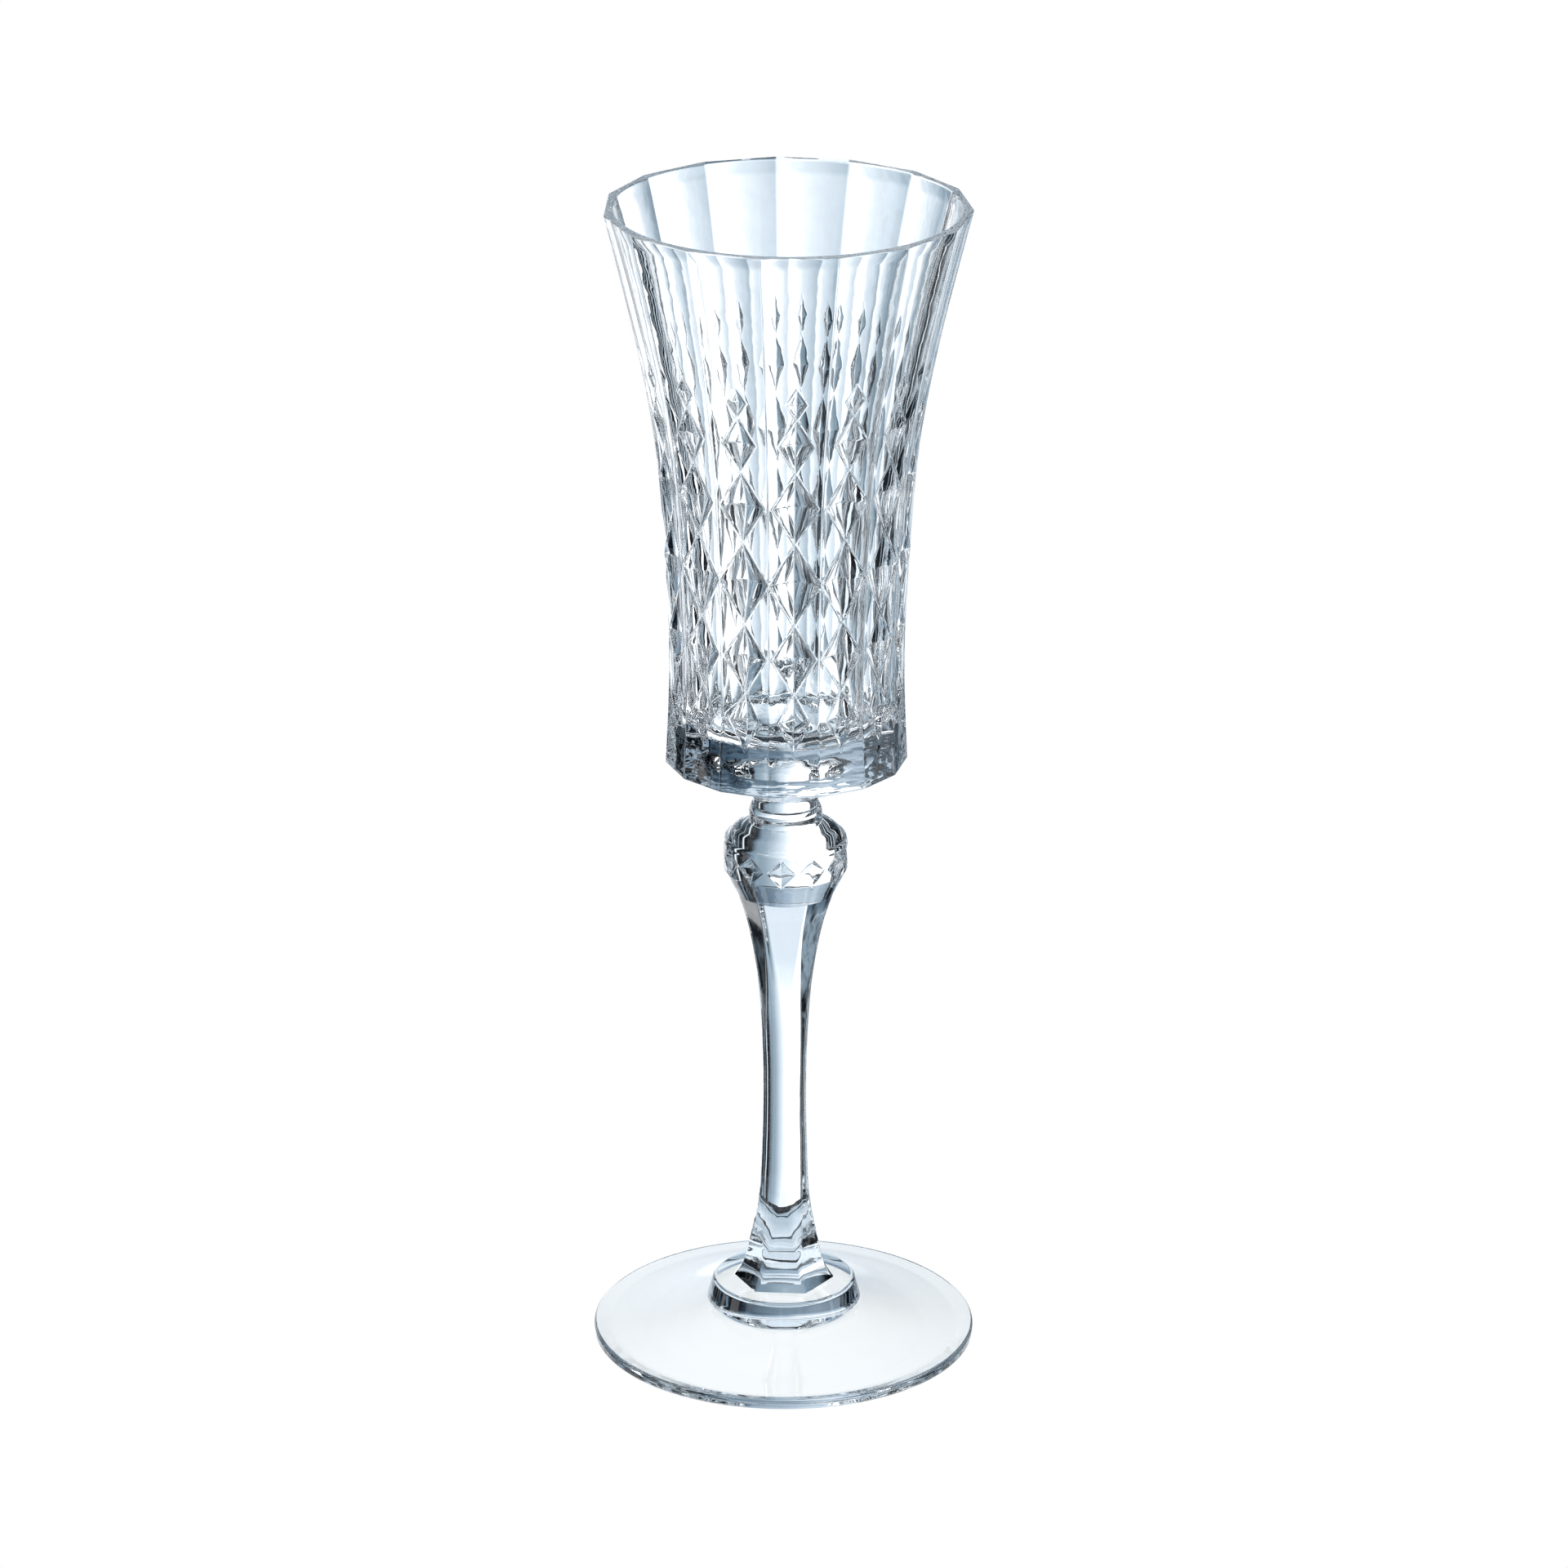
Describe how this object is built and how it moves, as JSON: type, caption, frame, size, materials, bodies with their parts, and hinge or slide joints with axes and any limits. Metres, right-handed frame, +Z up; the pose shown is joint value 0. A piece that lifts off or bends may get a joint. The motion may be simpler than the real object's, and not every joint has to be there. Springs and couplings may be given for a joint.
{
  "type": "champagne flute",
  "caption": "Clear pressed-crystal flute: tall flared faceted cup with sunken diamonds, neck and collar, diamond-banded knop, waisted six-sided stem and wide round foot",
  "frame": {"origin": "middle of the circle that the foot rests on", "axes": "+Z up along the stem, one flat panel of the bowl faces -Y"},
  "size_m": [0.0732, 0.0732, 0.225],
  "materials": {
    "bowl_glass": "clear, fire-polished",
    "neck_glass": "clear, fire-polished",
    "collar_glass": "clear, fire-polished",
    "knop_glass": "clear, fire-polished",
    "stem_glass": "clear, fire-polished",
    "base_button_glass": "clear, fire-polished",
    "foot_glass": "clear, fire-polished"
  },
  "bodies": {
    "root": {"bowl": "bowl_glass", "neck": "neck_glass", "collar": "collar_glass", "knop": "knop_glass", "stem": "stem_glass", "base_button": "base_button_glass", "foot": "foot_glass"}
  },
  "joints": []
}
